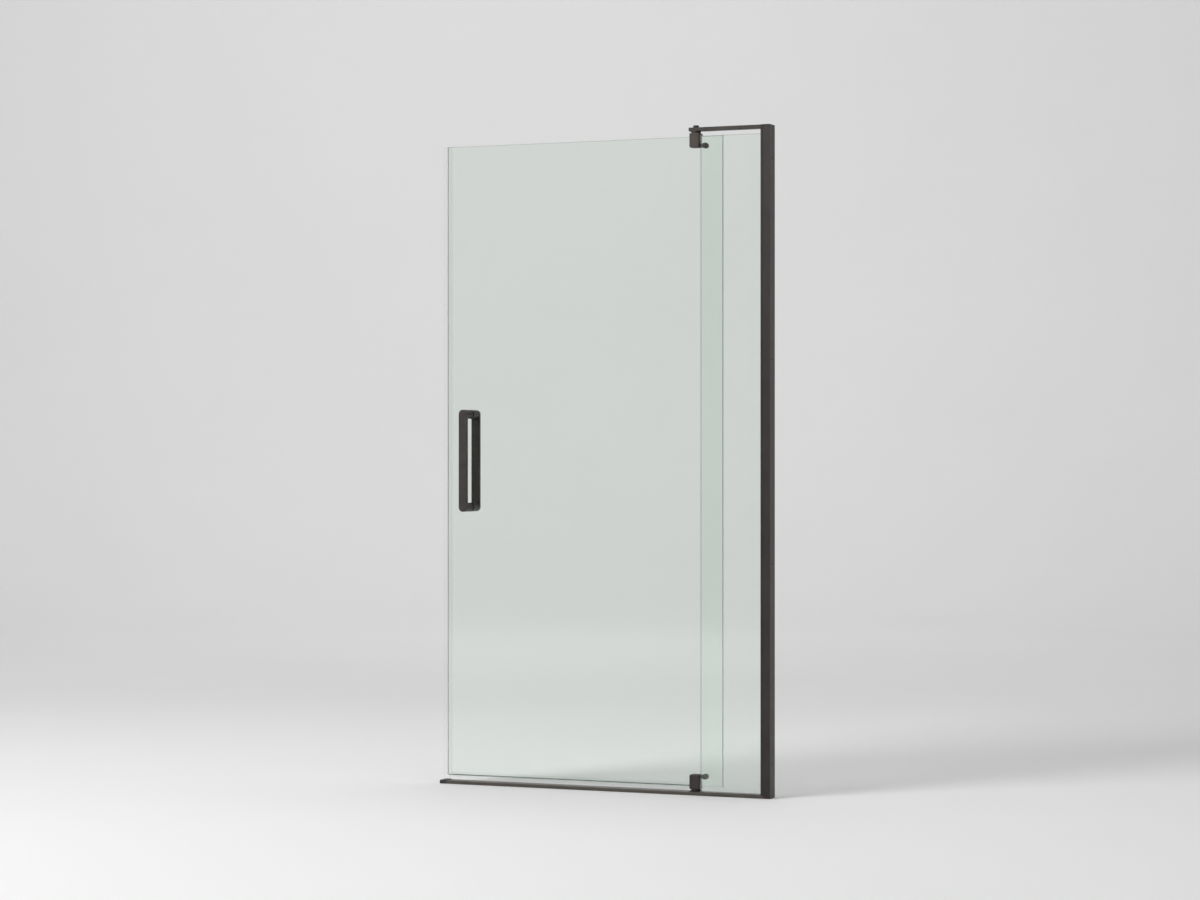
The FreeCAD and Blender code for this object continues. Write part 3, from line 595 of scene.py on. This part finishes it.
class DoorTrim(bpy.types.PropertyGroup):
    """Sizes of the strike seal and the side screws"""

    seal_wall: FloatProperty(
        name="Seal wall", description="Wall thickness of the strike seal in millimetres",
        min=0.6, max=1.6, default=1.0,
    )
    seal_lip: FloatProperty(
        name="Seal lip", description="Rounding of the strike seal's lips in millimetres",
        min=0.1, max=0.5, default=0.4,
    )
    screw_segments: IntProperty(
        name="Screw segments", description="Facets round each screw head",
        min=16, max=96, default=40,
    )
    side_screws: IntProperty(
        name="Side screws", description="Screws that lock the two wall profiles together",
        min=2, max=8, default=4,
    )


class DoorStudio(bpy.types.PropertyGroup):
    """Floor, light and camera of the plain studio"""

    floor: FloatVectorProperty(
        name="Floor", description="Colour of the floor and its upswept rim",
        subtype="COLOR", size=3, min=0, max=1, default=linear("e9e9e9")[:3],
    )
    sky: FloatVectorProperty(
        name="Sky", description="Colour of the light from all round",
        subtype="COLOR", size=3, min=0, max=1, default=linear("f4f4f4")[:3],
    )
    sky_strength: FloatProperty(
        name="Sky strength", description="Strength of the light from all round", default=0.52,
    )
    key_power: FloatProperty(
        name="Key power", description="Power of the large soft light", unit="POWER", default=340,
    )
    wall_power: FloatProperty(
        name="Wall power", description="Power of the light on the rim behind the door",
        unit="POWER", default=100,
    )
    top_power: FloatProperty(
        name="Top power", description="Power of the light above the door", unit="POWER", default=72,
    )
    lens: FloatProperty(
        name="Lens", description="Focal length of the camera",
        subtype="DISTANCE_CAMERA", default=86.76,
    )
    camera_place: FloatVectorProperty(
        name="Camera place", description="Where the camera stands", subtype="TRANSLATION", size=3,
        default=(2.9378, -7.245, 0.919),
    )
    camera_turn: FloatProperty(
        name="Camera turn", description="Camera heading about the vertical", subtype="ANGLE",
        default=math.radians(22.16),
    )


# ---------------------------------------------------------------- operators
class DOOR_OT_prepare(bpy.types.Operator):
    """Make the finishes and the node trees that the other steps use"""

    bl_idname = "door.prepare"
    bl_label = "Finishes"

    def execute(self, context):
        settings = context.scene.door_finishes
        plated_brass_bronze(settings)
        # One anodised finish in two colours: the rail's paler colour is painted light, and the wall
        # profiles' darker one is painted shade.
        anodised_extrusion(settings.rail, settings, "X")
        anodised_extrusion(settings.profile, settings, "Z")
        moulded_cap(settings)
        tempered_glass(settings, "door_glass")
        tempered_glass(settings, "fixed_glass")
        clear_vinyl(settings, "clear_pvc_extruded")
        # The sweep's vinyl gets a band of painted shade at the height of the glass's foot.
        glass_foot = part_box("door_glass")[0][2]
        clear_vinyl(settings, "clear_pvc_coextruded_with_smoky_strip", glass_foot)
        gasket_rubber()
        moulded_nylon()
        tumbled_stainless()
        extrusion_tree()
        row_tree()
        return {"FINISHED"}


class DOOR_OT_profiles(bpy.types.Operator):
    """Finish the rail, the wall profiles and their caps"""

    bl_idname = "door.profiles"
    bl_label = "Rail and wall profiles"

    def execute(self, context):
        anodised = "bronze_anodised_aluminium_extruded_along_"
        give(["bottom_rail"], material_named(anodised + "x"))
        # The arm bracket is given the dark anodised finish as painted shade: it stands for the dark
        # reveal where the arm meets the jamb.
        give(["wall_channel", "jamb_expander", "arm_bracket"], material_named(anodised + "z"))
        give(["rail_end_cap", "jamb_top_cap"], material_named("dark_abs"))
        return {"FINISHED"}


class DOOR_OT_fittings(bpy.types.Operator):
    """Finish the pivots, clamps, arm and handles and what is inside them"""

    bl_idname = "door.fittings"
    bl_label = "Pivots, arm and handles"

    def execute(self, context):
        give(BRONZE_NODES, material_named("bronze_plated_brass"))
        give(STEEL_NODES, material_named("stainless_steel"))
        give(NYLON_NODES, material_named("black_nylon"))
        return {"FINISHED"}


class DOOR_OT_panes(bpy.types.Operator):
    """Glaze the door and the fixed pane"""

    bl_idname = "door.panes"
    bl_label = "Glass"

    def execute(self, context):
        for pane in ("door_glass", "fixed_glass"):
            give([pane], material_named("tempered_float_glass_clear_" + pane))
        give(["upper_clamp_gaskets", "lower_clamp_gaskets"], material_named("clear_pvc_extruded"))
        return {"FINISHED"}


class DOOR_OT_strike_seal(bpy.types.Operator):
    """Extrude the clear seal on the door's free edge"""

    bl_idname = "door.strike_seal"
    bl_label = "Strike seal"

    def execute(self, context):
        trim = context.scene.door_trim
        low, high = corner_mm("strike_seal")
        glass_edge = corner_mm("door_glass")[0][0]
        outer = high[1]
        inner = outer - trim.seal_wall
        lip = trim.seal_lip
        # A U round the glass, with a web behind the edge and a fin that tapers from its root.
        glass_gap, web = 0.1, 1.5
        web_x = glass_edge - glass_gap
        back_x = web_x - web
        fin_half, fin_tip, fin_flare = 0.5, 0.45, 4.0
        root_length, root_half, root_fillet = 2.0, 1.6, 0.5
        shoulder, pocket = 1.0, 0.2
        half = [
            (web_x, inner, pocket), (high[0], inner, lip), (high[0], outer, lip),
            (back_x, outer, shoulder), (back_x, root_half, root_fillet),
            (back_x - root_length, fin_half, fin_flare), (low[0], fin_half, fin_tip),
        ]
        mirrored = [(x, -y, radius) for x, y, radius in reversed(half)]
        outline = rounded_outline(mirrored + half)
        material = material_named("clear_pvc_extruded")
        seal = extruded("strike_seal_profile", outline, low[2], high[2] - low[2], material)
        smooth_by_angle(seal)
        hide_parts("strike_seal")
        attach(seal, "door_leaf")
        return {"FINISHED"}


class DOOR_OT_screws(bpy.types.Operator):
    """Set the pan-head screws on the shower side of the wall profiles"""

    bl_idname = "door.screws"
    bl_label = "Side screws"

    def execute(self, context):
        trim = context.scene.door_trim
        low, high = corner_mm("jamb_side_screws")
        head_radius = (high[0] - low[0]) / 2
        x = (low[0] + high[0]) / 2
        seat_y = corner_mm("wall_channel")[1][1]
        rise = high[1] - seat_y
        tip = low[1] - seat_y
        # Sizes of a 4 mm pan-head screw: its head's lower rim, its shank and its blunt point.
        rim, shank_radius, tip_radius, point = 0.12, 2.0, 1.5, 0.5
        profile = [(head_radius * share, rise - drop) for share, drop in PAN_HEAD_DOME]
        profile += [
            (head_radius, rim), (head_radius - rim, 0.0), (shank_radius, 0.0),
            (shank_radius, tip + point), (tip_radius, tip), (0, tip),
        ]
        vertices, faces = turned(profile, trim.screw_segments)
        first_z = low[2] + head_radius
        last_z = high[2] - head_radius
        placed = [(x + a, seat_y + c, first_z + b) for a, b, c in vertices]
        screws = mesh_object("side_screw_row", placed, faces)
        outward_faces(screws)
        cut_recess(screws, (x, high[1], first_z), width=3.4, slot=0.9, depth=1.0)
        pitch = (last_z - first_z) / (trim.side_screws - 1)
        values = {
            "Count": trim.side_screws,
            "Pitch": (0, 0, pitch * MM),
            "Finish": material_named("stainless_steel"),
        }
        bake_nodes(screws, bpy.data.node_groups["Screw row"], values)
        smooth_by_angle(screws, degrees=40)
        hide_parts("jamb_side_screws")
        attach(screws, "frame")
        return {"FINISHED"}


class DOOR_OT_gaskets(bpy.types.Operator):
    """Finish the gaskets round the fixed pane"""

    bl_idname = "door.gaskets"
    bl_label = "Gaskets"

    def execute(self, context):
        give(["jamb_glazing_gaskets", "rail_setting_gasket"], material_named("black_epdm"))
        return {"FINISHED"}


class DOOR_OT_bottom_sweep(bpy.types.Operator):
    """Finish the clear sweep under the door's main leaf"""

    bl_idname = "door.bottom_sweep"
    bl_label = "Bottom sweep"

    def execute(self, context):
        give(["bottom_sweep"], material_named("clear_pvc_coextruded"))
        return {"FINISHED"}


class DOOR_OT_stage(bpy.types.Operator):
    """Lay the floor with its upswept rim, and set the lights and the camera"""

    bl_idname = "door.stage"
    bl_label = "Studio"

    def execute(self, context):
        studio = context.scene.door_studio
        floor_sweep(studio)
        world = bpy.data.worlds.new("pale_sky")
        context.scene.world = world
        world.use_nodes = True
        background = world.node_tree.nodes["Background"]
        background.inputs["Color"].default_value = opaque(studio.sky)
        background.inputs["Strength"].default_value = studio.sky_strength
        for name, place, target, size, power in LIGHTS:
            soft_light(name, place, target, size, getattr(studio, power))
        camera = bpy.data.objects.new("camera", bpy.data.cameras.new("camera"))
        context.scene.collection.objects.link(camera)
        camera.data.lens = studio.lens
        camera.location = studio.camera_place
        camera.rotation_euler = (math.radians(90), 0, studio.camera_turn)
        context.scene.camera = camera
        context.scene.view_settings.view_transform = "Standard"
        return {"FINISHED"}


class DOOR_PT_panel(bpy.types.Panel):
    """Lists the steps and settings of the shower door"""

    bl_idname = "DOOR_PT_panel"
    bl_label = "Shower door"
    bl_space_type = "VIEW_3D"
    bl_region_type = "UI"
    bl_category = "Shower door"

    def draw(self, context):
        layout, scene = self.layout, context.scene
        for group in (scene.door_finishes, scene.door_trim, scene.door_studio):
            box = layout.box()
            for name in group.__annotations__:
                box.prop(group, name)
        for step in STEPS:
            layout.operator(step.bl_idname)


STEPS = (
    DOOR_OT_prepare,
    DOOR_OT_profiles,
    DOOR_OT_fittings,
    DOOR_OT_panes,
    DOOR_OT_gaskets,
    DOOR_OT_strike_seal,
    DOOR_OT_bottom_sweep,
    DOOR_OT_screws,
    DOOR_OT_stage,
)
GROUPS = (DoorFinishes, DoorTrim, DoorStudio)


def register():
    for item in GROUPS + STEPS + (DOOR_PT_panel,):
        bpy.utils.register_class(item)
    bpy.types.Scene.door_finishes = PointerProperty(type=DoorFinishes)
    bpy.types.Scene.door_trim = PointerProperty(type=DoorTrim)
    bpy.types.Scene.door_studio = PointerProperty(type=DoorStudio)


def unregister():
    del bpy.types.Scene.door_finishes
    del bpy.types.Scene.door_trim
    del bpy.types.Scene.door_studio
    for item in reversed(GROUPS + STEPS + (DOOR_PT_panel,)):
        bpy.utils.unregister_class(item)


def main():
    register()
    bpy.ops.door.prepare()
    bpy.ops.door.profiles()
    bpy.ops.door.fittings()
    bpy.ops.door.panes()
    bpy.ops.door.gaskets()
    bpy.ops.door.strike_seal()
    bpy.ops.door.bottom_sweep()
    bpy.ops.door.screws()
    bpy.ops.door.stage()


if __name__ == "__main__":
    main()
